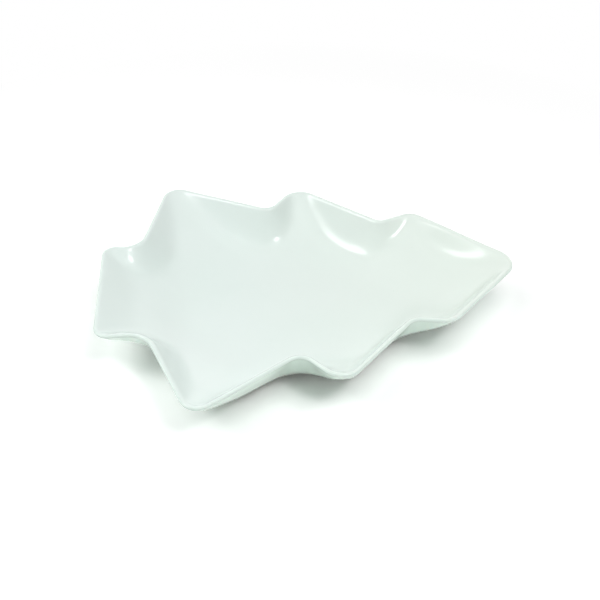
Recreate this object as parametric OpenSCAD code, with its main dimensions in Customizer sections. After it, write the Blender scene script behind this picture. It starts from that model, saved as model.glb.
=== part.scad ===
// Fir tree serving dish: one shallow stoneware dish with a trunk and three tiers, glazed inside and out.
// The trunk points along -X and the apex along +X. The dish stands on the XY plane,
// with the Z axis through the middle of its length and width.

/* [Tree outline] */
// Trunk end to the point where the two apex edges would meet
tree_len = 300; // [285:1:315]
// Trunk end to the neck, where the trunk meets the first tier
trunk_len = 30; // [26:1:36]
// Half width of the trunk at its end
trunk_half = 50; // [46:0.5:54]
// Half width of the neck
neck_half = 48.5; // [45:0.5:52]
// Lean of the trunk end, its far corner forward and its near corner back
trunk_skew = 3.3; // [0:0.1:5]
// Trunk end to the tips of the first tier
tier1_at = 54; // [48:1:60]
// Half width across the tips of the first tier
tier1_half = 129; // [120:1:138]
// Trunk end to the valleys beyond the first tier
valley1_at = 128.5; // [122:0.5:134]
// Half width between the valleys beyond the first tier
valley1_half = 83; // [78:0.5:88]
// Trunk end to the tips of the second tier
tier2_at = 152.5; // [146:0.5:158]
// Half width across the tips of the second tier
tier2_half = 113; // [106:1:120]
// Trunk end to the valleys beyond the second tier
valley2_at = 208.5; // [202:0.5:214]
// Half width between the valleys beyond the second tier
valley2_half = 57.5; // [53:0.5:61]
// Trunk end to the tips of the third tier
tier3_at = 234.5; // [228:0.5:240]
// Half width across the tips of the third tier
tier3_half = 65; // [61:0.5:70]

/* [Corner rounding] */
// Radius of the trunk's end corners
trunk_r = 8.7; // [6:0.1:10]
// Radius of the neck corners
neck_r = 18; // [12:0.5:20]
// Radius of the first tier's tips
tier1_r = 10.7; // [8:0.1:14]
// Radius of the valleys beyond the first tier
valley1_r = 10.5; // [8:0.1:13]
// Radius of the second tier's tips
tier2_r = 13.5; // [10:0.1:16]
// Radius of the valleys beyond the second tier
valley2_r = 8.6; // [7:0.1:11]
// Radius of the third tier's tips
tier3_r = 11.6; // [9:0.1:13]
// Radius of the apex
apex_r = 16.5; // [12:0.5:20]

/* [Rim and wall] */
// Height of the rim crest above the table
rim_h = 36.5; // [33:0.5:40]
// Angle of the wall above the table
wall_lean = 58.5; // [54:0.5:62]
// Width over which the rim rolls outward
lip_w = 1; // [0.7:0.1:1.5]
// Width over which the rim rolls outward beside the apex
apex_lip_w = 2.6; // [2:0.1:3.5]
// Angle by which the wall is less steep at the trunk end
trunk_ease = 16; // [12:1:20]
// Distance from the trunk end over which the wall gets steeper
trunk_ease_len = 90; // [78:1:102]
// Angle by which the wall is less steep at the apex
apex_ease = 12; // [8:1:16]
// Distance from the apex over which the wall gets steeper
apex_ease_len = 90; // [78:1:102]

/* [Slopes into the tips] */
// Length of the slope that runs up into each tip of the first tier
tier1_slope_len = 90; // [82:1:98]
// Length of the slope that runs up into each tip of the second tier
tier2_slope_len = 63; // [56:1:70]
// Length of the slope that runs up into each tip of the third tier
tier3_slope_len = 68; // [61:1:75]
// Length of the slope that runs up into the apex
apex_slope_len = 96; // [88:1:104]
// Length of the slope that runs up to the trunk end
trunk_slope_len = 104; // [95:1:113]

/* [Clay and glaze] */
// Thickness of the clay wall
clay_t = 3.6; // [3:0.1:4.5]
// Thickness of each glaze coat
glaze_t = 0.5; // [0.4:0.05:0.7]

/* [Floor and foot] */
// Trunk end to the middle of the flat floor
floor_at = 131; // [124:1:138]
// Half length of the flat floor
floor_half_len = 65; // [60:1:70]
// Half width of the flat floor at its middle
floor_half_w = 34; // [30:0.5:38]
// Distance from the flat floor over which the dish starts to rise
floor_ease_len = 38; // [34:0.5:42]
// Height of the foot ring
foot_h = 3; // [2:0.1:5]
// Width of the foot ring
foot_w = 7; // [5:0.5:9]
// Bare line between the foot ring and the glaze
bare_w = 1; // [0.6:0.1:2]

/* [Hidden] */

// A half turn, in degrees
turn = 180;

// Points along each corner's arc, along each straight edge, from floor to rim and over each half of the rim
arc_steps = 4;
half_edge_steps = [2, 3, 4, 2, 4, 2, 4];
trunk_edge_steps = 4;
rings = 11;
crest_steps = 2;

// Rim heights at the corners, from trunk end to apex, above or below rim_h
rise_shares = [0.02, 0, -0.025, 0.02, 0, 0.01, 0.04, -0.05];
// Part of an edge that its two corner arcs may take together
edge_share = 0.98;
// Part of the floor's way round that a corner's arc takes
arc_share = 0.4;
// Spacing of the rings, closer together towards the rim
ring_spacing_share = 1.4;
// Part of the full height that the slope at the trunk end reaches
trunk_slope_share = 0.7;
// Softness of the fold between the wall and the floor, and how much softer it gets at the trunk end
wall_fold_share = 0.13;
trunk_fold_share = 0.06;
// Softness of the fold between the wall and the slopes, and how much softer it gets towards the trunk
slope_fold_share = 0.5;
trunk_slope_fold_share = 0.2;
// Curve of the slopes into the tips, where 1 is straight
tip_curve = 1.7;
// Slopes and folds of the outside, as parts of those of the inside
under_slope_share = 0.8;
under_fold_share = 0.5;
// Part of the wall's thickness that is left at the rim, and how late the wall gets thinner
rim_left_share = 0.6;
rim_thinning = 8;
// Narrowing of the flat floor towards the apex
floor_taper_share = 0.35;
// Angles round the flat floor that face the corners, from trunk end to apex
floor_angles = [160, 149, 122, 86, 70, 40, 28, 0];

// Corners of the far half, from trunk end to apex
half_corners = [
    [trunk_skew, trunk_half],
    [trunk_len, neck_half],
    [tier1_at, tier1_half],
    [valley1_at, valley1_half],
    [tier2_at, tier2_half],
    [valley2_at, valley2_half],
    [tier3_at, tier3_half],
    [tree_len, 0]
];
half_radii = [trunk_r, neck_r, tier1_r, valley1_r, tier2_r, valley2_r, tier3_r, apex_r];
half_lips = [lip_w, lip_w, lip_w, lip_w, lip_w, lip_w, apex_lip_w, apex_lip_w];

apex_i = len(half_corners) - 1;
near_trunk_corner = [-trunk_skew, -trunk_half];
corners = concat(
    half_corners,
    [for (i = [apex_i - 1:-1:1]) [half_corners[i].x, -half_corners[i].y]],
    [near_trunk_corner]
);
corner_n = len(corners);
edge_steps = concat(half_edge_steps, reversed(half_edge_steps), [trunk_edge_steps]);
station_n = total([for (steps = edge_steps) arc_steps + steps]);

rim_line = loop_line(corners, both_halves(half_radii));
x_mid = (min([for (p = rim_line) p.x]) + max([for (p = rim_line) p.x])) / 2;

coat_t = clay_t / 2 + glaze_t;
floor_mid_z = foot_h + clay_t / 2;
rim_mid_z = rim_h - coat_t * rim_left_share;
rises = along_loop(both_halves(rim_h * rise_shares));
lips = along_loop(both_halves(half_lips));

floor_turns = concat(floor_angles, [for (i = [apex_i - 1:-1:0]) -floor_angles[i]], [floor_angles[0] - 2 * turn]);
floor_line = floor_egg(0);

// Tips that a slope runs up into, with the length of that slope
tip_corners = [2, 4, 6, apex_i, 2 * apex_i - 6, 2 * apex_i - 4, 2 * apex_i - 2];
tip_slope_lens = both_halves([tier1_slope_len, tier2_slope_len, tier3_slope_len, apex_slope_len]);
tips = [for (i = [0:len(tip_corners) - 1]) [rim_line[tip_station(tip_corners[i])], tip_slope_lens[i]]];

// Places of the wall's points in plan, height shares of the wall there, and the middles of its two faces
places = [for (ring = [0:rings]) [for (s = [0:station_n - 1]) place(ring, s)]];
walls = [for (ring = [0:rings - 1]) [for (s = [0:station_n - 1]) wall_share(places[ring][s], lips[s])]];
inner = face_middle(1, 1);
outer = face_middle(under_slope_share, under_fold_share);

// Small helpers
function wrap(list, i) = list[(i + len(list)) % len(list)];
function unit(v) = v / norm(v);
function total(values) = values * [for (value = values) 1];
function reversed(list) = [for (i = [len(list) - 1:-1:0]) list[i]];
function both_halves(list) = concat(list, [for (i = [len(list) - 2:-1:0]) list[i]]);
function eased(share) = (1 - cos(turn * share)) / 2;
function clamped(share) = max(0, min(1, share));
function inner_rounding(a, b, width) = pow(max(width - abs(a - b), 0) / width, 3) * width / 6;

// Closed line through the corners, each rounded by an arc
function loop_line(corners, radii) =
    let (
        n = len(corners),
        to_last = [for (i = [0:n - 1]) unit(wrap(corners, i - 1) - corners[i])],
        to_next = [for (i = [0:n - 1]) unit(wrap(corners, i + 1) - corners[i])],
        edge = [for (i = [0:n - 1]) norm(wrap(corners, i + 1) - corners[i])],
        half = [for (i = [0:n - 1]) acos(to_last[i] * to_next[i]) / 2],
        reach = [for (i = [0:n - 1]) radii[i] / tan(half[i])],
        held = [for (i = [0:n - 1]) reach[i] * min(
            1,
            edge_share * wrap(edge, i - 1) / (wrap(reach, i - 1) + reach[i]),
            edge_share * edge[i] / (reach[i] + wrap(reach, i + 1))
        )],
        starts = [for (i = [0:n - 1]) corners[i] + to_last[i] * held[i]],
        ends = [for (i = [0:n - 1]) corners[i] + to_next[i] * held[i]]
    )
    [for (i = [0:n - 1]) each concat(
        corner_arc(corners[i], to_last[i], to_next[i], held[i], half[i]),
        [for (k = [1:1:edge_steps[i] - 1]) ends[i] + (wrap(starts, i + 1) - ends[i]) * k / edge_steps[i]]
    )];

function corner_arc(corner, to_last, to_next, reach, half) =
    let (
        radius = reach * tan(half),
        centre = corner + unit(to_last + to_next) * radius / sin(half),
        spoke = corner + to_last * reach - centre,
        first = atan2(spoke.y, spoke.x),
        sweep = (turn - 2 * half) * sign(cross(to_next, to_last))
    )
    [for (k = [0:arc_steps])
        let (angle = first + sweep * k / arc_steps)
        centre + radius * [cos(angle), sin(angle)]];

// One value per corner, carried along the loop and blended along the edges
function along_loop(values) =
    [for (i = [0:corner_n - 1]) each concat(
        [for (k = [0:arc_steps]) values[i]],
        [for (k = [1:1:edge_steps[i] - 1])
            values[i] + (wrap(values, i + 1) - values[i]) * eased(k / edge_steps[i])]
    )];

function tip_station(corner) =
    total([for (i = [0:corner - 1]) arc_steps + edge_steps[i]]) + arc_steps / 2;

// Egg shaped line round the flat floor, drawn in by an inset
function floor_egg(inset) =
    [for (i = [0:corner_n - 1]) each concat(
        [for (k = [0:arc_steps]) egg_point(i + arc_share * (k / arc_steps - 1 / 2), inset)],
        [for (k = [1:1:edge_steps[i] - 1])
            egg_point(i + arc_share / 2 + (1 - arc_share) * k / edge_steps[i], inset)]
    )];

function egg_point(place, inset) =
    let (
        whole = floor(place),
        first = whole < 0 ? floor_turns[corner_n - 1] + 2 * turn : floor_turns[whole],
        angle = first + (floor_turns[whole + 1] - first) * (place - whole)
    )
    [
        floor_at + (floor_half_len - inset) * cos(angle),
        (floor_half_w - inset) * sin(angle) * (1 - floor_taper_share * cos(angle))
    ];

// Distance to the rim, softened where two edges are about as near
function rim_distance(p) =
    pow(total([for (s = [0:station_n - 1]) edge_pull(p, rim_line[s], wrap(rim_line, s + 1))]) / (3 * PI / 8), -1 / 5);

function edge_pull(p, start, end) =
    let (
        along = unit(end - start),
        offset = max(abs(cross(along, p - start)), glaze_t),
        from = (start - p) * along
    )
    pull_term(from + norm(end - start), offset) - pull_term(from, offset);

// Integral of distance to the power -6 along a line that passes at an offset
function pull_term(s, offset) =
    let (
        h2 = offset * offset,
        d2 = s * s + h2
    )
    s / (4 * h2 * d2 * d2) + 3 * s / (8 * h2 * h2 * d2) + 3 * atan(s / offset) * PI / turn / (8 * h2 * h2 * offset);

// Height shares between floor and rim: the wall, with its fold into the floor, and the slopes into the tips
function wall_share(p, lip) =
    let (
        near = rim_distance(p),
        rolled = near * (1 - exp(-near / lip)),
        by_trunk = pow(clamped(1 - p.x / trunk_ease_len), 2),
        by_apex = pow(clamped(1 - (tree_len - p.x) / apex_ease_len), 2),
        lean = wall_lean - trunk_ease * by_trunk - apex_ease * by_apex,
        fold = 2 * (wall_fold_share + trunk_fold_share * by_trunk),
        line = 1 - rolled * tan(lean) / (rim_mid_z - floor_mid_z)
    )
    (line + norm([line, fold])) / (1 + norm([1, fold]));

function slope_share(p, part) =
    1 - (1 - trunk_slope_share * pow(clamped(1 - p.x / (trunk_slope_len * part)), 2))
        * rest_of_slopes(p, part, len(tips) - 1);

function rest_of_slopes(p, part, i) =
    i < 0 ? 1
    : (1 - pow(clamped(1 - norm(p - tips[i][0]) / (tips[i][1] * part)), tip_curve)) * rest_of_slopes(p, part, i - 1);

function lift_share(ring, s, slope_part, fold_part) =
    let (
        p = places[ring][s],
        fold = fold_part * (slope_fold_share + trunk_slope_fold_share * clamped(1 - p.x / valley2_at)),
        slope = slope_share(p, slope_part),
        over = inner_rounding(1, slope_share(rim_line[s], slope_part), fold)
    )
    max(walls[ring][s], slope) + inner_rounding(walls[ring][s], slope, fold) - over * pow(way(ring), 6);

// Way from the flat floor to the rim, and the place of a ring at a station round the dish
function way(ring) = 1 - pow(1 - ring / rings, ring_spacing_share);

function place(ring, s) = floor_line[s] + (rim_line[s] - floor_line[s]) * way(ring);

// Middle of the clay wall as one of its faces follows it
function face_middle(slope_part, fold_part) =
    [for (ring = [0:rings]) [for (s = [0:station_n - 1])
        let (
            p = places[ring][s],
            start = clamped(norm(p - floor_line[s]) / floor_ease_len),
            lift = ring == rings ? 1
                : ring == 0 ? 0
                : lift_share(ring, s, slope_part, fold_part) * start * start * (3 - 2 * start)
        )
        [p.x - x_mid, p.y, floor_mid_z + (rim_mid_z - floor_mid_z) * lift + rises[s] * pow(way(ring), 4)]]];

function along_ring(face, ring, s) = unit(wrap(face[ring], s + 1) - wrap(face[ring], s - 1));

function face_normal(face, ring, s) =
    ring == 0 ? [0, 0, 1]
    : ring == rings ? rim_up(s)
    : unit(cross(along_ring(face, ring, s), face[ring + 1][s] - face[ring - 1][s]));

function rim_up(s) =
    unit(cross(along_ring(inner, rings, s), 2 * inner[rings][s] - inner[rings - 1][s] - outer[rings - 1][s]));

// Skins parallel to a face's middle, and rings over the rounded rim from its inside to its outside
function thinned(ring) = 1 - (1 - rim_left_share) * pow(way(ring), rim_thinning);

function skin(face, ring, depth) =
    [for (s = [0:station_n - 1]) face[ring][s] + face_normal(face, ring, s) * depth * thinned(ring)];

function rim_ring(step, depth) =
    [for (s = [0:station_n - 1])
        let (
            up = rim_up(s),
            out = cross(up, along_ring(inner, rings, s)),
            crest = atan2(out.z, up.z),
            angle = step < crest_steps
                ? crest * step / crest_steps
                : crest + (turn - crest) * (step - crest_steps) / crest_steps
        )
        inner[rings][s] + depth * rim_left_share * (up * cos(angle) + out * sin(angle))];

function inside_rings(depth) =
    concat([for (ring = [0:rings]) skin(inner, ring, depth)], [for (step = [1:crest_steps]) rim_ring(step, depth)]);

function outside_rings(depth) =
    concat(
        [for (step = [crest_steps:2 * crest_steps - 1]) rim_ring(step, depth)],
        [for (ring = [rings:-1:0]) skin(outer, ring, -depth)]
    );

// Triangles between two neighbouring rings; crossed picks the other diagonal
function band(first, second, crossed) =
    [for (s = [0:station_n - 1])
        let (
            next = (s + 1) % station_n,
            a = first * station_n + s,
            b = first * station_n + next,
            c = second * station_n + s,
            d = second * station_n + next
        )
        each crossed ? [[a, c, b], [b, c, d]] : [[a, d, b], [a, c, d]]];

// Solid skinned over a row of rings; the bands from crossed_from on meet a neighbour's skin
module ring_solid(ring_list, crossed_from, crossed_to, closed_loop) {
    n = len(ring_list);
    bands = [for (i = [0:1:n - 2]) each band(i, i + 1, i >= crossed_from && i < crossed_to)];
    ends = closed_loop
        ? band(n - 1, 0, false)
        : [[for (s = [0:station_n - 1]) s], [for (s = [station_n - 1:-1:0]) (n - 1) * station_n + s]];
    polyhedron(points = [for (ring = ring_list) each ring], faces = concat(bands, ends));
}

module egg_plate(inset, thickness) {
    linear_extrude(thickness) polygon([for (p = floor_egg(inset)) [p.x - x_mid, p.y]]);
}

module clay_body() {
    outside = outside_rings(clay_t / 2);
    all_rings = concat(inside_rings(clay_t / 2), [for (i = [1:len(outside) - 1]) outside[i]]);
    color("wheat") ring_solid(all_rings, 0, 0, false);
}

module foot_ring() {
    overrun = foot_h;
    color("tan") difference() {
        egg_plate(bare_w, foot_h);
        translate([0, 0, -overrun]) egg_plate(bare_w + foot_w, foot_h + 2 * overrun);
    }
}

module inside_glaze() {
    coat = inside_rings(coat_t);
    backing = reversed(inside_rings(clay_t / 2));
    color("honeydew") ring_solid(concat(coat, backing), len(coat), 2 * len(coat), false);
}

module outside_glaze() {
    coat = outside_rings(coat_t);
    backing = reversed(outside_rings(clay_t / 2));
    color("powderblue") ring_solid(concat(backing, coat), 0, len(backing) - 1, true);
}

module base_glaze() {
    color("mintcream") translate([0, 0, foot_h - glaze_t]) egg_plate(foot_w + 2 * bare_w, glaze_t);
}

clay_body();
foot_ring();
inside_glaze();
outside_glaze();
base_glaze();
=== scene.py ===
"""Fir tree serving dish: the looks of a glazed stoneware dish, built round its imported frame."""

import logging
import math
from dataclasses import dataclass, field
from enum import Enum

import bmesh
import bpy
import numpy as np
from mathutils import Matrix, Vector


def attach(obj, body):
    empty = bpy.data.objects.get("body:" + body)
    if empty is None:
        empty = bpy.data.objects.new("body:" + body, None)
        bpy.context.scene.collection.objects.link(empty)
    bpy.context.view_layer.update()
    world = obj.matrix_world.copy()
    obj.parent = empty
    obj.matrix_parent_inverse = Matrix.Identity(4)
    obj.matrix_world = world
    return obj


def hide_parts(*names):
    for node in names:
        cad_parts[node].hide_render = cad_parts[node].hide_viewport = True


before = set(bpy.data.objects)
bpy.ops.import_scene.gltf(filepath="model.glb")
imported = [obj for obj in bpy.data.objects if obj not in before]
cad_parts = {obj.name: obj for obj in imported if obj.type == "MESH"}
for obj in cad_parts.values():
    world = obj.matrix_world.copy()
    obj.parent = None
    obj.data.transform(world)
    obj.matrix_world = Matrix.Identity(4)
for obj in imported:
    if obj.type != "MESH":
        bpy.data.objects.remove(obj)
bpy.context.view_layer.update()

LOG = logging.getLogger("fir_dish")
MM = 0.001
Tone = tuple[float, float, float]
Spot = tuple[float, float, float]
Socket = bpy.types.NodeSocket


class Slot(Enum):
    """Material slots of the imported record."""

    BARE_CLAY = "bare_clay"
    GLAZE = "glaze"


class Skin(Enum):
    """The two sides of the dish wall."""

    INSIDE = 1.0
    OUTSIDE = -1.0


@dataclass(frozen=True)
class Grain:
    """A cloudy noise: clouds to a metre, octaves of finer noise, and the range of it that counts."""

    scale: float
    octaves: float
    low: float = 0.0
    high: float = 1.0


@dataclass(frozen=True)
class Relief:
    """A bump: the part of it that is used, and its height in metres."""

    strength: float
    depth: float


class ShaderBench:
    """Places and links the nodes of one shader tree."""

    # A Mix node has sockets for each type of value, and these are the ones for colours
    COLOURS_IN = (6, 7)
    COLOUR_OUT = 2

    def __init__(self, tree: bpy.types.NodeTree) -> None:
        """Empties the tree.

        Args:
            tree: The node tree of a material or a world.
        """
        self.tree = tree
        tree.nodes.clear()

    def add(self, kind: str, **settings: object) -> bpy.types.Node:
        """Adds a node.

        Args:
            kind: Node type, without its ShaderNode prefix.
            settings: Properties of the node, and socket values under the socket's name with _ for spaces.

        Returns:
            The new node.
        """
        node = self.tree.nodes.new("ShaderNode" + kind)
        for key, value in settings.items():
            if hasattr(node, key):
                setattr(node, key, value)
        for key, value in settings.items():
            if not hasattr(node, key):
                node.inputs[key.replace("_", " ")].default_value = value
        return node

    def link(self, source: Socket, target: Socket) -> None:
        """Joins an output to an input."""
        self.tree.links.new(source, target)

    def blend(self, share: Socket, first: Tone | Socket, second: Tone | Socket) -> Socket:
        """Mixes two colours.

        Args:
            share: Socket with the part of the second colour.
            first: Colour, or a socket that gives one.
            second: Colour, or a socket that gives one.

        Returns:
            Socket with the mixed colour.
        """
        mix = self.add("Mix", data_type="RGBA", clamp_factor=True)
        self.link(share, mix.inputs[0])
        for slot, value in zip(self.COLOURS_IN, (first, second)):
            if isinstance(value, Socket):
                self.link(value, mix.inputs[slot])
            else:
                mix.inputs[slot].default_value = (*value, 1.0)
        return mix.outputs[self.COLOUR_OUT]

    def ranged(self, value: Socket, low: float, high: float, start: float, end: float) -> Socket:
        """Stretches a value from one range to another.

        Args:
            value: Socket to stretch.
            low: Lower end of its range.
            high: Upper end of its range.
            start: What the lower end becomes.
            end: What the upper end becomes.

        Returns:
            Socket with the stretched value.
        """
        node = self.add("MapRange", clamp=True, From_Min=low, From_Max=high, To_Min=start, To_Max=end)
        self.link(value, node.inputs["Value"])
        return node.outputs["Result"]

    def noise(self, place: Socket, grain: Grain) -> Socket:
        """Cloudy noise.

        Args:
            place: Socket with the coordinates.
            grain: Size and fineness of the clouds.

        Returns:
            Socket with values from 0 to 1.
        """
        node = self.add("TexNoise", Scale=grain.scale, Detail=grain.octaves)
        self.link(place, node.inputs["Vector"])
        return node.outputs["Fac"]

    def patches(self, place: Socket, grain: Grain, start: float, end: float) -> Socket:
        """Cloudy noise whose counting range is stretched to another range.

        Args:
            place: Socket with the coordinates.
            grain: Size, fineness and counting range of the clouds.
            start: What the lower end becomes.
            end: What the upper end becomes.

        Returns:
            Socket with the stretched value.
        """
        return self.ranged(self.noise(place, grain), grain.low, grain.high, start, end)

    def place(self) -> Socket:
        """Object coordinates, in metres."""
        return self.add("TexCoord").outputs["Object"]

    def reading(self, name: str) -> Socket:
        """A value that the piece's own mesh carries."""
        return self.add("Attribute", attribute_name=name).outputs["Fac"]

    def bump(self, height: Socket, relief: Relief, below: Socket | None = None) -> Socket:
        """Bump from a height.

        Args:
            height: Socket with the height.
            relief: Strength and depth of the bump.
            below: Socket of a coarser bump that this one lies on.

        Returns:
            Socket with the normal.
        """
        node = self.add("Bump", Strength=relief.strength, Distance=relief.depth)
        self.link(height, node.inputs["Height"])
        if below is not None:
            self.link(below, node.inputs["Normal"])
        return node.outputs["Normal"]


@dataclass(frozen=True)
class CeladonGlaze:
    """Glossy pale green glaze, thin over the rim, deeper green and painted lighter outside, and warmed by the
    clay near the foot.

    Inside, the tone warms along the dish from cool_to to warm_from. Outside, it changes from the low
    tone at low_to to the green one at green_from. These places are in metres.
    """

    inside: Tone = (0.740, 0.822, 0.790)
    inside_cloud: Tone = (0.722, 0.812, 0.776)
    warm: Tone = (0.742, 0.818, 0.755)
    # Outside tone: a deeper green, painted lighter than the inside as painted light on the shaded outer wall.
    outside: Tone = (0.785, 0.945, 0.845)
    low: Tone = (0.780, 0.820, 0.765)
    rim: Tone = (0.735, 0.850, 0.785)
    fleck: Tone = (0.560, 0.640, 0.590)
    fleck_share: float = 0.22
    cool_to: float = -0.05
    warm_from: float = 0.14
    low_to: float = 0.006
    green_from: float = 0.016
    smooth: float = 0.17
    dull: float = 0.25
    ior: float = 1.5
    gloss: float = 0.35
    gloss_roughness: float = 0.11
    clouds: Grain = Grain(14.0, 3.0, 0.35, 0.65)
    flecks: Grain = Grain(620.0, 2.0, 0.70, 0.80)
    haze: Grain = Grain(38.0, 4.0, 0.30, 0.70)
    waves: Grain = Grain(55.0, 2.0)
    wave_relief: Relief = Relief(0.10, 0.0012)
    fleck_relief: Relief = Relief(0.05, 0.0002)

    def material(self) -> bpy.types.Material:
        """Makes the glaze.

        Returns:
            The finished material.
        """
        made = bpy.data.materials.new("celadon_glaze")
        made.use_nodes = True
        bench = ShaderBench(made.node_tree)
        place = bench.place()
        axes = bench.add("SeparateXYZ")
        bench.link(place, axes.inputs[0])
        tone = bench.blend(bench.patches(place, self.clouds, 0.0, 1.0), self.inside, self.inside_cloud)
        to_apex = bench.ranged(axes.outputs["X"], self.cool_to, self.warm_from, 0.0, 1.0)
        tone = bench.blend(to_apex, tone, self.warm)
        to_foot = bench.ranged(axes.outputs["Z"], self.low_to, self.green_from, 1.0, 0.0)
        # The outer side takes the outside tone, a deeper green painted lighter as light on its shaded wall,
        # turning to the low tone near the foot.
        tone = bench.blend(bench.reading("outer"), tone, bench.blend(to_foot, self.outside, self.low))
        tone = bench.blend(bench.reading("thin"), tone, self.rim)
        tone = bench.blend(bench.patches(place, self.flecks, 0.0, self.fleck_share), tone, self.fleck)
        shader = bench.add(
            "BsdfPrincipled", IOR=self.ior, Coat_Weight=self.gloss, Coat_Roughness=self.gloss_roughness
        )
        bench.link(tone, shader.inputs["Base Color"])
        bench.link(bench.patches(place, self.haze, self.smooth, self.dull), shader.inputs["Roughness"])
        waved = bench.bump(bench.noise(place, self.waves), self.wave_relief)
        bench.link(waved, shader.inputs["Coat Normal"])
        flecked = bench.bump(bench.noise(place, self.flecks), self.fleck_relief, waved)
        bench.link(flecked, shader.inputs["Normal"])
        out = bench.add("OutputMaterial")
        bench.link(shader.outputs["BSDF"], out.inputs["Surface"])
        return made


@dataclass(frozen=True)
class BareClay:
    """Unglazed buff stoneware with dark grog."""

    body: Tone = (0.560, 0.480, 0.385)
    toasted: Tone = (0.470, 0.375, 0.280)
    grog: Tone = (0.230, 0.180, 0.135)
    grog_share: float = 0.8
    worn: float = 0.72
    chalky: float = 0.92
    toasting: Grain = Grain(45.0, 4.0, 0.35, 0.65)
    grit: Grain = Grain(900.0, 2.0, 0.64, 0.72)
    tooth: Grain = Grain(900.0, 2.0, 0.30, 0.70)
    pores: Grain = Grain(1600.0, 3.0)
    pore_relief: Relief = Relief(0.35, 0.0003)

    def material(self) -> bpy.types.Material:
        """Makes the clay.

        Returns:
            The finished material.
        """
        made = bpy.data.materials.new("buff_stoneware")
        made.use_nodes = True
        bench = ShaderBench(made.node_tree)
        place = bench.place()
        tone = bench.blend(bench.patches(place, self.toasting, 0.0, 1.0), self.body, self.toasted)
        tone = bench.blend(bench.patches(place, self.grit, 0.0, self.grog_share), tone, self.grog)
        shader = bench.add("BsdfPrincipled")
        bench.link(tone, shader.inputs["Base Color"])
        bench.link(bench.patches(place, self.tooth, self.worn, self.chalky), shader.inputs["Roughness"])
        pitted = bench.bump(bench.noise(place, self.pores), self.pore_relief)
        bench.link(pitted, shader.inputs["Normal"])
        out = bench.add("OutputMaterial")
        bench.link(shader.outputs["BSDF"], out.inputs["Surface"])
        return made


@dataclass(frozen=True)
class PaperSweep:
    """White paper under the dish, which takes its shadow and runs out to plain white."""

    paper: float = 0.96
    seen_paper: float = 1.17
    shadow_reach: float = 0.26
    white_from: float = 0.46

    def material(self) -> bpy.types.Material:
        """Makes the paper.

        Returns:
            The finished material.
        """
        made = bpy.data.materials.new("white_paper")
        made.use_nodes = True
        bench = ShaderBench(made.node_tree)
        seen = seen_rays(bench)
        near = bench.add("BsdfDiffuse")
        bench.link(bench.ranged(seen, 0.0, 1.0, self.paper, self.seen_paper), near.inputs["Color"])
        away = bench.add("VectorMath", operation="LENGTH")
        bench.link(bench.place(), away.inputs[0])
        far = bench.add("Math", operation="MULTIPLY")
        whitening = bench.ranged(away.outputs["Value"], self.shadow_reach, self.white_from, 0.0, 1.0)
        bench.link(whitening, far.inputs[0])
        bench.link(seen, far.inputs[1])
        both = bench.add("MixShader")
        bench.link(far.outputs["Value"], both.inputs["Fac"])
        bench.link(near.outputs["BSDF"], both.inputs[1])
        bench.link(bench.add("Emission").outputs["Emission"], both.inputs[2])
        out = bench.add("OutputMaterial")
        bench.link(both.outputs["Shader"], out.inputs["Surface"])
        return made


def seen_rays(bench: ShaderBench) -> Socket:
    """Rays that show the background: straight, mirrored or through glass.

    Args:
        bench: Shader tree to add the nodes to.

    Returns:
        Socket that is 1 for such a ray and 0 for light.
    """
    path = bench.add("LightPath")
    most = path.outputs["Is Camera Ray"]
    for name in ("Is Glossy Ray", "Is Transmission Ray"):
        either = bench.add("Math", operation="MAXIMUM")
        bench.link(most, either.inputs[0])
        bench.link(path.outputs[name], either.inputs[1])
        most = either.outputs[0]
    return most


def clamped(share: np.ndarray) -> np.ndarray:
    """Holds shares between 0 and 1."""
    return np.clip(share, 0.0, 1.0)


def unit(vectors: np.ndarray) -> np.ndarray:
    """Vectors of length 1 in the same directions."""
    return vectors / np.linalg.norm(vectors, axis=-1, keepdims=True)


def both_halves(values: list[float]) -> list[float]:
    """Values of the far half, from trunk to apex, and back along the near half."""
    return values + values[-2::-1]


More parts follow.
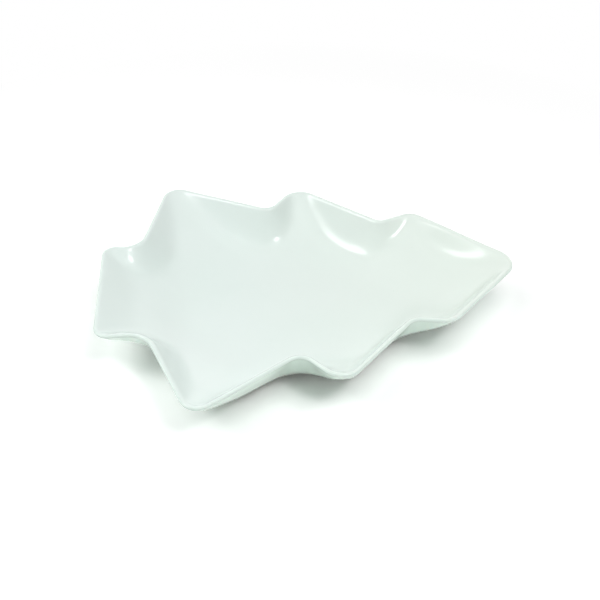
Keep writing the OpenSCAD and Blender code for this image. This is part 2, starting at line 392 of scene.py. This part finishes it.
@dataclass
class TreeOutline:
    """Plan of the rim: a trunk and three tiers, in millimetres from the trunk end."""

    length: float = 300.0
    trunk_skew: float = 3.3
    trunk_half: float = 50.0
    neck: tuple[float, float] = (30.0, 48.5)
    tier1: tuple[float, float] = (54.0, 129.0)
    valley1: tuple[float, float] = (128.5, 83.0)
    tier2: tuple[float, float] = (152.5, 113.0)
    valley2: tuple[float, float] = (208.5, 57.5)
    tier3: tuple[float, float] = (234.5, 65.0)
    radii: list[float] = field(default_factory=lambda: [8.7, 18.0, 10.7, 10.5, 13.5, 8.6, 11.6, 16.5])
    rises: list[float] = field(default_factory=lambda: [0.02, 0.0, -0.025, 0.02, 0.0, 0.01, 0.04, -0.05])
    lips: list[float] = field(default_factory=lambda: [1.0, 1.0, 1.0, 1.0, 1.0, 1.0, 2.6, 2.6])
    arc_steps: int = 12
    edge_step: float = 3.4
    straight_share: float = 0.75
    least_steps: int = 2
    edge_share: float = 0.98
    easings: int = 40

    def __post_init__(self) -> None:
        """Works out the corners and how many points each edge gets."""
        trunk = (self.trunk_skew, self.trunk_half)
        tiers = [self.neck, self.tier1, self.valley1, self.tier2, self.valley2, self.tier3]
        apex = (self.length, 0.0)
        half = [trunk, *tiers, apex]
        near = [(x, -y) for x, y in half[-2:0:-1]]
        self.corners = np.array([*half, *near, (-self.trunk_skew, -self.trunk_half)])
        edges = np.linalg.norm(np.roll(self.corners, -1, axis=0) - self.corners, axis=1)
        straights = self.straight_share * edges / self.edge_step
        self.edge_steps = [max(self.least_steps, round(straight)) for straight in straights]
        self.firsts = np.cumsum([0] + [self.arc_steps + steps for steps in self.edge_steps])

    @property
    def stations(self) -> int:
        """Points round the rim."""
        return int(self.firsts[-1])

    def line(self) -> np.ndarray:
        """Rounds each corner by an arc.

        Returns:
            Points round the rim, x and y.
        """
        count = len(self.corners)
        radii = both_halves(self.radii)
        back = unit(np.roll(self.corners, 1, axis=0) - self.corners)
        ahead = unit(np.roll(self.corners, -1, axis=0) - self.corners)
        edge = np.linalg.norm(np.roll(self.corners, -1, axis=0) - self.corners, axis=1)
        half = np.arccos((back * ahead).sum(1)) / 2
        reach = np.array(radii) / np.tan(half)
        room_back = self.edge_share * np.roll(edge, 1) / (np.roll(reach, 1) + reach)
        room_ahead = self.edge_share * edge / (reach + np.roll(reach, -1))
        held = reach * np.minimum(1.0, np.minimum(room_back, room_ahead))
        starts = self.corners + back * held[:, None]
        ends = self.corners + ahead * held[:, None]
        points: list[np.ndarray] = []
        for i in range(count):
            radius = held[i] * math.tan(half[i])
            centre = self.corners[i] + unit(back[i] + ahead[i]) * radius / math.sin(half[i])
            spoke = starts[i] - centre
            side = ahead[i][0] * back[i][1] - ahead[i][1] * back[i][0]
            turn = math.copysign(math.pi - 2 * half[i], side)
            for k in range(self.arc_steps + 1):
                angle = math.atan2(spoke[1], spoke[0]) + turn * k / self.arc_steps
                points.append(centre + radius * np.array([math.cos(angle), math.sin(angle)]))
            goal = starts[(i + 1) % count]
            steps = self.edge_steps[i]
            points += [ends[i] + (goal - ends[i]) * k / steps for k in range(1, steps)]
        return np.array(points)

    def spread(self, half_values: list[float]) -> np.ndarray:
        """Carries one value per corner round the rim, eased along the edges and past short ones.

        Args:
            half_values: Values at the corners of the far half.

        Returns:
            One value per station.
        """
        values = both_halves(half_values)
        out: list[float] = []
        for i, value in enumerate(values):
            after = values[(i + 1) % len(values)]
            out += [value] * (self.arc_steps + 1)
            steps = self.edge_steps[i]
            shares = [(1 - math.cos(math.pi * k / steps)) / 2 for k in range(1, steps)]
            out += [value + (after - value) * share for share in shares]
        eased = np.array(out)
        for _ in range(self.easings):
            eased = eased / 2 + (np.roll(eased, 1) + np.roll(eased, -1)) / 4
        return eased

    def tip(self, corner: int) -> int:
        """Station in the middle of a corner's arc."""
        return int(self.firsts[corner]) + self.arc_steps // 2


@dataclass
class FloorEgg:
    """Egg shaped flat floor, in millimetres."""

    at: float = 131.0
    half_length: float = 65.0
    half_width: float = 34.0
    taper: float = 0.35
    arc_share: float = 0.4
    angles: list[float] = field(default_factory=lambda: [160.0, 149.0, 122.0, 86.0, 70.0, 40.0, 28.0, 0.0])

    def line(self, outline: TreeOutline, inset: float) -> np.ndarray:
        """Points round the floor, one for each station of the rim.

        Args:
            outline: Rim that the floor lies in.
            inset: How far the line is drawn in.

        Returns:
            Points round the floor, x and y.
        """
        places: list[float] = []
        for i, steps in enumerate(outline.edge_steps):
            arc = [k / outline.arc_steps - 0.5 for k in range(outline.arc_steps + 1)]
            places += [i + self.arc_share * share for share in arc]
            places += [i + self.arc_share / 2 + (1 - self.arc_share) * k / steps for k in range(1, steps)]
        return np.array([self.point(place, inset) for place in places])

    def point(self, place: float, inset: float) -> tuple[float, float]:
        """A point of the egg.

        Args:
            place: Corner number, with parts for places between corners.
            inset: How far the point is drawn in.

        Returns:
            Its x and y.
        """
        turns = [*self.angles, *[-a for a in self.angles[-2::-1]], self.angles[0] - 360.0]
        whole = math.floor(place)
        first = turns[-2] + 360.0 if whole < 0 else turns[whole]
        angle = math.radians(first + (turns[whole + 1] - first) * (place - whole))
        along = self.at + (self.half_length - inset) * math.cos(angle)
        across = (self.half_width - inset) * math.sin(angle) * (1 - self.taper * math.cos(angle))
        return along, across


@dataclass
class DishForm:
    """Clay wall of the dish, from the flat floor up to the rim, in millimetres."""

    outline: TreeOutline = field(default_factory=TreeOutline)
    floor: FloorEgg = field(default_factory=FloorEgg)
    rim_height: float = 36.5
    clay: float = 3.6
    glaze: float = 0.5
    foot_height: float = 3.0
    wall_lean: float = 58.5
    wall_fold: float = 0.13
    trunk_ease: float = 16.0
    trunk_ease_length: float = 90.0
    trunk_fold: float = 0.06
    apex_ease: float = 12.0
    apex_ease_length: float = 90.0
    slopes: list[float] = field(default_factory=lambda: [90.0, 63.0, 68.0, 96.0])
    slope_curve: float = 1.7
    slope_fold: float = 0.5
    trunk_slope_fold: float = 0.2
    trunk_slope: float = 0.7
    trunk_slope_length: float = 104.0
    under_slope: float = 0.8
    under_fold: float = 0.5
    floor_ease: float = 38.0
    rim_left: float = 0.6
    rim_thinning: float = 8.0
    tip_corners: tuple[int, ...] = (2, 4, 6, 7, 8, 10, 12)
    least_offset: float = 0.2
    rings: int = 44
    ring_crowding: float = 1.4
    rise_curve: int = 4
    rim_curve: int = 6
    evenings: int = 12
    rim_kept: int = 4
    snug: float = 0.9982

    def __post_init__(self) -> None:
        """Works out the lines of rim and floor, and the middle of the wall as each side follows it."""
        self.rim_line = self.outline.line()
        self.floor_line = self.floor.line(self.outline, 0.0)
        self.middle_x = (self.rim_line[:, 0].min() + self.rim_line[:, 0].max()) / 2
        self.coat = self.clay / 2 + self.glaze
        self.floor_z = self.foot_height + self.clay / 2
        self.full = self.rim_height - self.coat * self.rim_left - self.floor_z
        self.way = 1 - (1 - np.linspace(0.0, 1.0, self.rings + 1)) ** self.ring_crowding
        self.thinned = 1 - (1 - self.rim_left) * self.way**self.rim_thinning
        reach = self.rim_line - self.floor_line
        self.places = self.floor_line[None] + reach[None] * self.way[:, None, None]
        self.walls = [self.wall_share(ring, self.rim_distance(ring)) for ring in self.places[1:-1]]
        self.middle = {
            Skin.INSIDE: self.evened(self.surface(1.0, 1.0)),
            Skin.OUTSIDE: self.surface(self.under_slope, self.under_fold),
        }
        self.upright = {side: self.normals(middle) for side, middle in self.middle.items()}
        self.rim_up = unit(self.upright[Skin.INSIDE][-1] + self.upright[Skin.OUTSIDE][-1])
        for normals in self.upright.values():
            normals[-1] = self.rim_up

    def rim_distance(self, points: np.ndarray) -> np.ndarray:
        """Distance to the rim, softened where two edges are about as near.

        Each bit of the rim pulls by its distance to the power -6. An endless straight edge would pull
        by 3 pi / 8 times its distance to the power -5, which turns the sum back into a distance.

        Args:
            points: One ring of points, x and y.

        Returns:
            One distance per point.
        """
        starts = self.rim_line
        edges = np.roll(starts, -1, axis=0) - starts
        lengths = np.linalg.norm(edges, axis=1)
        edges = edges / lengths[:, None]
        to_start = starts[None] - points[:, None]
        near = (to_start * edges[None]).sum(-1)
        off = np.abs(edges[None, :, 0] * to_start[..., 1] - edges[None, :, 1] * to_start[..., 0])
        off = np.maximum(off, self.least_offset)
        pulls = self.pull(near + lengths[None], off) - self.pull(near, off)
        endless = 3 * math.pi / 8
        return (pulls.sum(1) / endless) ** (-1 / 5)

    @staticmethod
    def pull(along: np.ndarray, off: np.ndarray) -> np.ndarray:
        """Integral of distance to the power -6 along a line that passes at an offset.

        Args:
            along: Way along the line, from where it passes nearest.
            off: The offset there.

        Returns:
            The integral up to that way.
        """
        square = along * along + off * off
        first = along / (4 * off**2 * square**2)
        second = 3 * along / (8 * off**4 * square)
        third = 3 * np.arctan(along / off) / (8 * off**5)
        return first + second + third

    def wall_share(self, points: np.ndarray, near: np.ndarray) -> np.ndarray:
        """Height of the wall with its fold into the floor.

        Args:
            points: One ring of points, x and y.
            near: Their distances to the rim.

        Returns:
            Shares of the full height.
        """
        rolled = near * (1 - np.exp(-near / self.outline.spread(self.outline.lips)))
        by_trunk = clamped(1 - points[:, 0] / self.trunk_ease_length) ** 2
        by_apex = clamped(1 - (self.outline.length - points[:, 0]) / self.apex_ease_length) ** 2
        lean = np.radians(self.wall_lean - self.trunk_ease * by_trunk - self.apex_ease * by_apex)
        fold = 2 * (self.wall_fold + self.trunk_fold * by_trunk)
        line = 1 - rolled * np.tan(lean) / self.full
        return (line + np.hypot(line, fold)) / (1 + np.hypot(1.0, fold))

    def slope_share(self, points: np.ndarray, part: float) -> np.ndarray:
        """Height of the slopes that run up into the tips and the trunk.

        Args:
            points: One ring of points, x and y.
            part: Part of the slopes' lengths that is used.

        Returns:
            Shares of the full height.
        """
        rest = 1 - self.trunk_slope * clamped(1 - points[:, 0] / (self.trunk_slope_length * part)) ** 2
        for corner, length in zip(self.tip_corners, both_halves(self.slopes)):
            tip = self.rim_line[self.outline.tip(corner)]
            away = np.linalg.norm(points - tip, axis=1)
            rest = rest * (1 - clamped(1 - away / (length * part)) ** self.slope_curve)
        return 1 - rest

    def fold_width(self, points: np.ndarray) -> np.ndarray:
        """Softness of the fold between wall and slopes, more towards the trunk."""
        to_trunk = clamped(1 - points[:, 0] / self.outline.valley2[0])
        return self.slope_fold + self.trunk_slope_fold * to_trunk

    @staticmethod
    def rounding(first: np.ndarray | float, second: np.ndarray, width: np.ndarray) -> np.ndarray:
        """What a soft fold adds where two heights are about the same."""
        return (np.maximum(width - np.abs(first - second), 0.0) / width) ** 3 * width / 6

    def surface(self, slope_part: float, fold_part: float) -> np.ndarray:
        """Middle of the clay wall as one of its sides follows it.

        Args:
            slope_part: Part of the slopes' lengths that this side has.
            fold_part: Part of the folds' softness that this side has.

        Returns:
            Points by ring and station, x, y and z.
        """
        rises = self.outline.spread([self.rim_height * rise for rise in self.outline.rises])
        rim_slope = self.slope_share(self.rim_line, slope_part)
        over = self.rounding(1.0, rim_slope, self.fold_width(self.rim_line) * fold_part)
        rings = []
        for i, way in enumerate(self.way):
            points = self.places[i]
            lift = np.full(len(points), float(i == self.rings))
            if 0 < i < self.rings:
                wall, slope = self.walls[i - 1], self.slope_share(points, slope_part)
                fold = self.rounding(wall, slope, self.fold_width(points) * fold_part)
                start = clamped(np.linalg.norm(points - self.floor_line, axis=1) / self.floor_ease)
                lift = np.maximum(wall, slope) + fold - over * way**self.rim_curve
                lift = lift * start * start * (3 - 2 * start)
            height = self.floor_z + self.full * lift + rises * way**self.rise_curve
            rings.append(np.column_stack([points[:, 0] - self.middle_x, points[:, 1], height]))
        return np.array(rings)

    def evened(self, middle: np.ndarray) -> np.ndarray:
        """Softens the folds between the floor and the rim.

        Args:
            middle: Points by ring and station.

        Returns:
            The same points, each drawn towards its neighbours, with the floor and the rim kept.
        """
        for _ in range(self.evenings):
            around = np.roll(middle, 1, axis=1) + np.roll(middle, -1, axis=1)
            eased = middle[1:-1] / 2 + (around[1:-1] + middle[:-2] + middle[2:]) / 8
            middle[1 : -self.rim_kept] = eased[: 1 - self.rim_kept]
        return middle

    @staticmethod
    def normals(middle: np.ndarray) -> np.ndarray:
        """Directions square to a middle surface, upward.

        Args:
            middle: Points by ring and station.

        Returns:
            One direction per point.
        """
        round_way = np.roll(middle, -1, axis=1) - np.roll(middle, 1, axis=1)
        square = unit(np.cross(round_way, np.gradient(middle, axis=0)))
        square[0] = (0.0, 0.0, 1.0)
        return square

    def skin(self, ring: int, depth: float, side: Skin) -> np.ndarray:
        """A ring of one side of the wall.

        Args:
            ring: Ring number, 0 at the floor.
            depth: Distance from the middle of the clay.
            side: Inside or outside.

        Returns:
            Points in metres.
        """
        reach = depth * side.value * self.thinned[ring]
        return self.placed(self.middle[side][ring] + self.upright[side][ring] * reach)

    def crest(self, share: float, depth: float) -> np.ndarray:
        """A ring over the rounded rim.

        Args:
            share: Way over the rim, 0 inside and 1 outside.
            depth: Distance from the middle of the clay.

        Returns:
            Points in metres.
        """
        rim = self.middle[Skin.INSIDE][-1]
        along = unit(np.roll(rim, -1, axis=0) - np.roll(rim, 1, axis=0))
        out = np.cross(self.rim_up, along)
        angle = math.pi * share
        spoke = self.rim_up * math.cos(angle) + out * math.sin(angle)
        return self.placed(rim + depth * self.rim_left * spoke)

    def egg(self, inset: float, height: float) -> np.ndarray:
        """A level line round the foot.

        Args:
            inset: How far the line is drawn in from the edge of the floor.
            height: Height above the table.

        Returns:
            Points in metres.
        """
        line = self.floor.line(self.outline, inset)
        level = np.full(len(line), height)
        return self.placed(np.column_stack([line[:, 0] - self.middle_x, line[:, 1], level]))

    def placed(self, points: np.ndarray) -> np.ndarray:
        """Points in metres, a hair inside the frame's box."""
        return points * self.snug * MM


class RingMesh:
    """A mesh pulled up ring by ring from a circle of edges."""

    def __init__(self, name: str, ring: np.ndarray, thin: float = 0.0, outer: float = 0.0) -> None:
        """Adds the first ring.

        Args:
            name: Name of the piece.
            ring: Points of the first ring, in metres.
            thin: How thin the glaze lies there.
            outer: How far it is on the outside.
        """
        self.count = len(ring)
        bpy.ops.object.select_all(action="DESELECT")
        bpy.ops.mesh.primitive_circle_add(vertices=self.count, fill_type="NOTHING", location=(0.0, 0.0, 0.0))
        self.piece = bpy.context.object
        self.piece.name = name
        self.piece.data.name = name
        bpy.ops.object.mode_set(mode="EDIT")
        mesh = bmesh.from_edit_mesh(self.piece.data)
        station = mesh.verts.layers.int.new("station")
        mesh.verts.layers.float.new("thin")
        mesh.verts.layers.float.new("outer")
        mesh.verts.ensure_lookup_table()
        for i in range(self.count):
            mesh.verts[i][station] = i
        self.settle(mesh, ring, thin, outer)
        bpy.ops.mesh.select_all(action="SELECT")

    def settle(self, mesh: bmesh.types.BMesh, ring: np.ndarray, thin: float, outer: float) -> None:
        """Sets the newest ring in its place.

        Args:
            mesh: Mesh in edit mode.
            ring: Points of the ring, in metres.
            thin: How thin the glaze lies there.
            outer: How far it is on the outside.
        """
        mesh.verts.ensure_lookup_table()
        station = mesh.verts.layers.int["station"]
        thin_layer = mesh.verts.layers.float["thin"]
        outer_layer = mesh.verts.layers.float["outer"]
        for vert in mesh.verts[-self.count:]:
            vert.co = ring[vert[station]]
            vert[thin_layer] = thin
            vert[outer_layer] = outer
        bmesh.update_edit_mesh(self.piece.data)

    def pull(self, ring: np.ndarray, thin: float = 0.0, outer: float = 0.0) -> None:
        """Extrudes the last ring of edges to a new place.

        Args:
            ring: Points of the new ring, in metres.
            thin: How thin the glaze lies there.
            outer: How far it is on the outside.
        """
        bpy.ops.mesh.extrude_edges_indiv()
        self.settle(bmesh.from_edit_mesh(self.piece.data), ring, thin, outer)

    def pick(self, *ends: slice) -> None:
        """Selects whole rings of edges.

        Args:
            ends: Vertices of each ring, such as the first or the last.
        """
        bpy.ops.mesh.select_all(action="DESELECT")
        mesh = bmesh.from_edit_mesh(self.piece.data)
        mesh.verts.ensure_lookup_table()
        for end in ends:
            chosen = set(mesh.verts[end])
            for edge in mesh.edges:
                if edge.verts[0] in chosen and edge.verts[1] in chosen:
                    edge.select = True
        mesh.select_flush(True)
        bmesh.update_edit_mesh(self.piece.data)

    def close(self, as_loop: bool) -> bpy.types.Object:
        """Closes the mesh and leaves edit mode.

        Args:
            as_loop: Whether the last ring joins the first, and otherwise each gets a flat face.

        Returns:
            The closed piece.
        """
        first, last = slice(0, self.count), slice(-self.count, None)
        if as_loop:
            self.pick(first, last)
            bpy.ops.mesh.bridge_edge_loops()
        else:
            for end in (first, last):
                self.pick(end)
                bpy.ops.mesh.edge_face_add()
        bpy.ops.mesh.select_all(action="SELECT")
        bpy.ops.mesh.normals_make_consistent(inside=False)
        bpy.ops.object.mode_set(mode="OBJECT")
        self.piece.data.attributes.remove(self.piece.data.attributes["station"])
        bpy.ops.object.shade_smooth()
        return self.piece


def dress(piece: bpy.types.Object, finish: bpy.types.Material, slot: Slot, *nodes: str) -> None:
    """Gives a piece its finish and its place in the frame.

    Args:
        piece: Piece to dress.
        finish: Its material.
        slot: The record's material slot; not used.
        nodes: CAD nodes that it stands for.
    """
    piece.data.materials.clear()
    piece.data.materials.append(finish)
    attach(piece, "root")
    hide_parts(*nodes)
    LOG.info("%s: %d faces", piece.name, len(piece.data.polygons))


@dataclass
class DishShell:
    """The clay wall and the glaze over it."""

    form: DishForm
    crest_steps: int = 12
    clay_step: int = 2

    def inside(self, depth: float, step: int) -> list[np.ndarray]:
        """Rings up the inside, from floor to rim.

        Args:
            depth: Distance from the middle of the clay.
            step: Rings to go on by.

        Returns:
            Rings in order.
        """
        return [self.form.skin(ring, depth, Skin.INSIDE) for ring in range(0, self.form.rings + 1, step)]

    def crest(self, depth: float, steps: int) -> list[np.ndarray]:
        """Rings over the rim, without its ends.

        Args:
            depth: Distance from the middle of the clay.
            steps: Parts that the half round is cut into.

        Returns:
            Rings in order.
        """
        return [self.form.crest(k / steps, depth) for k in range(1, steps)]

    def outside(self, depth: float, step: int) -> list[np.ndarray]:
        """Rings down the outside, from rim to floor.

        Args:
            depth: Distance from the middle of the clay.
            step: Rings to go on by.

        Returns:
            Rings in order.
        """
        return [self.form.skin(ring, depth, Skin.OUTSIDE) for ring in range(self.form.rings, -1, -step)]

    def bare_rings(self) -> list[np.ndarray]:
        """Rings over the clay under the glaze, from the floor inside, over the rim, to the floor's underside.

        Returns:
            Rings in order.
        """
        bare = self.form.clay / 2
        step = self.clay_step
        return [
            *self.inside(bare, step),
            *self.crest(bare, self.crest_steps // step),
            *self.outside(bare, step),
        ]

    def build_coat(self, finish: bpy.types.Material) -> bpy.types.Object:
        """One coat of glaze, up the inside, over the rim and down to the foot.

        Args:
            finish: Glaze material.

        Returns:
            The finished piece.
        """
        coat = self.form.coat
        rings = [(ring, 0.0, 0.0) for ring in self.inside(coat, 1)]
        for k, ring in enumerate(self.crest(coat, self.crest_steps), start=1):
            share = k / self.crest_steps
            rings.append((ring, math.sin(math.pi * share) ** 2, share))
        rings += [(ring, 0.0, 1.0) for ring in self.outside(coat, 1)]
        rings += [(ring, 0.0, 1.0) for ring in reversed(self.bare_rings())]
        mesh = RingMesh("glaze_coat", *rings[0])
        for ring in rings[1:]:
            mesh.pull(*ring)
        piece = mesh.close(as_loop=False)
        dress(piece, finish, Slot.GLAZE, "inside_glaze", "outside_glaze")
        return piece

    def build_clay(self, finish: bpy.types.Material) -> bpy.types.Object:
        """The clay wall under the glaze, bare on its sole.

        Args:
            finish: Clay material.

        Returns:
            The finished piece.
        """
        rings = self.bare_rings()
        mesh = RingMesh("clay_wall", rings[0])
        for ring in rings[1:]:
            mesh.pull(ring)
        piece = mesh.close(as_loop=False)
        dress(piece, finish, Slot.BARE_CLAY, "clay_body")
        return piece


@dataclass
class Foot:
    """The foot ring that the dish stands on, and the glaze inside it."""

    form: DishForm
    width: float = 7.0
    bare: float = 1.0
    round_off: float = 0.8
    round_steps: int = 3
    sharp_from: float = 50.0

    def build_ring(self, finish: bpy.types.Material) -> bpy.types.Object:
        """The trimmed foot ring.

        Args:
            finish: Clay material.

        Returns:
            The finished piece.
        """
        high = self.form.foot_height
        inner = self.bare + self.width
        mesh = RingMesh("foot_rim", self.form.egg(self.bare, high))
        mesh.pull(self.form.egg(self.bare, 0.0))
        mesh.pull(self.form.egg(inner, 0.0))
        mesh.pull(self.form.egg(inner, high))
        piece = mesh.close(as_loop=True)
        self.soften(piece)
        dress(piece, finish, Slot.BARE_CLAY, "foot_ring")
        return piece

    def build_base(self, finish: bpy.types.Material) -> bpy.types.Object:
        """The pool of glaze inside the foot ring.

        Args:
            finish: Glaze material.

        Returns:
            The finished piece.
        """
        inset = self.width + 2 * self.bare
        low = self.form.foot_height - self.form.glaze
        mesh = RingMesh("base_pool", self.form.egg(inset, self.form.foot_height))
        mesh.pull(self.form.egg(inset, low + self.form.glaze / 2))
        mesh.pull(self.form.egg(inset + self.form.glaze, low))
        piece = mesh.close(as_loop=False)
        dress(piece, finish, Slot.GLAZE, "base_glaze")
        return piece

    def soften(self, piece: bpy.types.Object) -> None:
        """Rounds off the sole's sharp edges.

        Args:
            piece: Foot ring.
        """
        bevel = piece.modifiers.new("round_off", "BEVEL")
        bevel.width = self.round_off * MM
        bevel.segments = self.round_steps
        bevel.limit_method = "ANGLE"
        bevel.angle_limit = math.radians(self.sharp_from)
        bpy.context.view_layer.objects.active = piece
        bpy.ops.object.modifier_apply(modifier=bevel.name)


@dataclass
class Lamp:
    """A square softbox."""

    name: str
    at: Spot
    side: float
    power: float
    mirrored: bool = True

    def hang(self, aim: Spot) -> None:
        """Hangs the lamp.

        Args:
            aim: Where it points.
        """
        light = bpy.data.lights.new(self.name, "AREA")
        light.shape = "SQUARE"
        light.size = self.side
        light.energy = self.power
        stand = bpy.data.objects.new(self.name, light)
        stand.visible_glossy = self.mirrored
        bpy.context.scene.collection.objects.link(stand)
        stand.location = self.at
        stand.rotation_euler = (Vector(aim) - Vector(self.at)).to_track_quat("-Z", "Y").to_euler()


@dataclass
class Studio:
    """Paper, light and camera."""

    walls: float = 0.42
    back_wall: float = 1.60
    wall_top: float = 0.85
    sheet: float = 6.0
    eye: Spot = (-0.0936, -0.5929, 0.4884)
    yaw: float = 8.478
    pitch: float = 38.38
    roll: float = 0.6
    lens: float = 63.94
    sensor: float = 36.0
    aim: Spot = (0.0, 0.0, 0.02)
    lamps: list[Lamp] = field(
        default_factory=lambda: [
            Lamp("left_softbox", (-0.87, -0.03, 0.98), 0.40, 2.9),
            Lamp("right_softbox", (0.375, -0.64, 1.06), 0.22, 2.2),
            Lamp("left_diffuser", (-0.69, 0.02, 1.10), 0.9, 5.4, mirrored=False),
            Lamp("right_diffuser", (0.33, -0.30, 1.15), 0.8, 7.3, mirrored=False),
        ]
    )

    def lay_paper(self) -> None:
        """Lays the white sheet under the dish."""
        bpy.ops.object.select_all(action="DESELECT")
        bpy.ops.mesh.primitive_plane_add(size=self.sheet, location=(0.0, 0.0, 0.0))
        sheet = bpy.context.object
        sheet.name = "paper_sheet"
        sheet.data.materials.append(PaperSweep().material())

    def fill_room(self) -> None:
        """Lights the room from its pale walls, most from the back, and shows plain white where it is seen."""
        world = bpy.data.worlds.new("white_room")
        bpy.context.scene.world = world
        world.use_nodes = True
        bench = ShaderBench(world.node_tree)
        way = bench.add("SeparateXYZ")
        bench.link(bench.add("TexCoord").outputs["Generated"], way.inputs[0])
        wall = bench.ranged(way.outputs["Y"], 0.0, 1.0, self.walls, self.back_wall)
        lit = bench.add("Math", operation="MULTIPLY")
        bench.link(wall, lit.inputs[0])
        bench.link(bench.ranged(way.outputs["Z"], 0.0, self.wall_top, 1.0, 0.0), lit.inputs[1])
        shown = bench.add("Math", operation="MAXIMUM")
        bench.link(lit.outputs["Value"], shown.inputs[0])
        bench.link(seen_rays(bench), shown.inputs[1])
        room = bench.add("Background", Color=(1.0, 1.0, 1.0, 1.0))
        bench.link(shown.outputs["Value"], room.inputs["Strength"])
        out = bench.add("OutputWorld")
        bench.link(room.outputs["Background"], out.inputs["Surface"])

    def set_camera(self) -> None:
        """Stands the camera where the photograph was taken from."""
        yaw, pitch, roll = (math.radians(angle) for angle in (self.yaw, self.pitch, self.roll))
        ahead = Vector((math.sin(yaw) * math.cos(pitch), math.cos(yaw) * math.cos(pitch), -math.sin(pitch)))
        right = Vector((math.cos(yaw), -math.sin(yaw), 0.0))
        up = right.cross(ahead)
        across = right * math.cos(roll) + up * math.sin(roll)
        upright = up * math.cos(roll) - right * math.sin(roll)
        lens = bpy.data.cameras.new("camera")
        lens.sensor_width = self.sensor
        lens.lens = self.lens
        camera = bpy.data.objects.new("camera", lens)
        bpy.context.scene.collection.objects.link(camera)
        turned = Matrix((across, upright, -ahead)).transposed().to_4x4()
        turned.translation = Vector(self.eye)
        camera.matrix_world = turned
        bpy.context.scene.camera = camera

    def build(self) -> None:
        """Sets up the whole studio."""
        self.lay_paper()
        self.fill_room()
        for lamp in self.lamps:
            lamp.hang(self.aim)
        self.set_camera()
        bpy.context.scene.view_settings.view_transform = "Standard"


def main() -> None:
    """Builds the dish and its studio, and reports each piece."""
    logging.basicConfig(level=logging.INFO, format="%(message)s")
    form = DishForm()
    glaze = CeladonGlaze().material()
    clay = BareClay().material()
    shell = DishShell(form)
    shell.build_coat(glaze)
    shell.build_clay(clay)
    foot = Foot(form)
    foot.build_ring(clay)
    foot.build_base(glaze)
    Studio().build()


if __name__ == "__main__":
    main()
